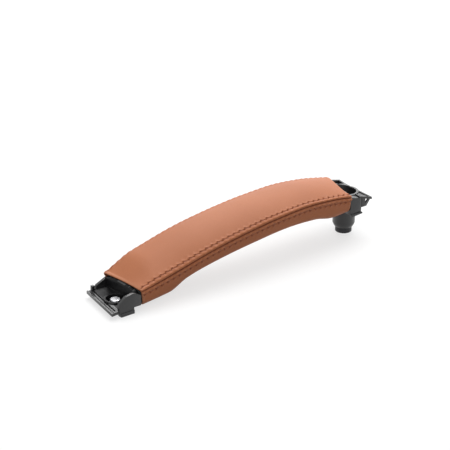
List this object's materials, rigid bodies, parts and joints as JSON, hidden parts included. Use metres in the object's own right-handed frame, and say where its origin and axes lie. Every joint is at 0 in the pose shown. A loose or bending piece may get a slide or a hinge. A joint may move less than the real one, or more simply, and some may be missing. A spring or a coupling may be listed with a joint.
{
  "type": "car door pull handle",
  "caption": "Arched leather-wrapped door pull handle on a black moulded carrier, with a screw tray at the low end and a hollow post at the high end.",
  "frame": {"origin": "centre of the bounding box in plan, on the door's mounting plane under the feet", "axes": "+X along the handle from the tray end to the post end, +Y across it to the far side, +Z away from the door"},
  "size_m": [0.264, 0.0458, 0.0487],
  "materials": {
    "black_plastic": "satin moulded black",
    "inner_plastic": "moulded dark grey",
    "foam": "closed-cell black foam",
    "leather": "smooth tan leather with fine grain",
    "thread": "tan bonded thread",
    "zinc": "bright zinc plated",
    "black_steel": "blackened steel"
  },
  "bodies": {
    "root": {"core_carrier": "black_plastic", "underside_shell": "inner_plastic", "foam_wrap": "foam", "leather_top_panel": "leather", "leather_underside_panel": "leather", "thread_near_upper": "thread", "thread_near_lower": "thread", "thread_far_upper": "thread", "thread_far_lower": "thread", "lower_insert_nut": "zinc", "upper_spacer_bush": "black_steel"}
  },
  "joints": []
}
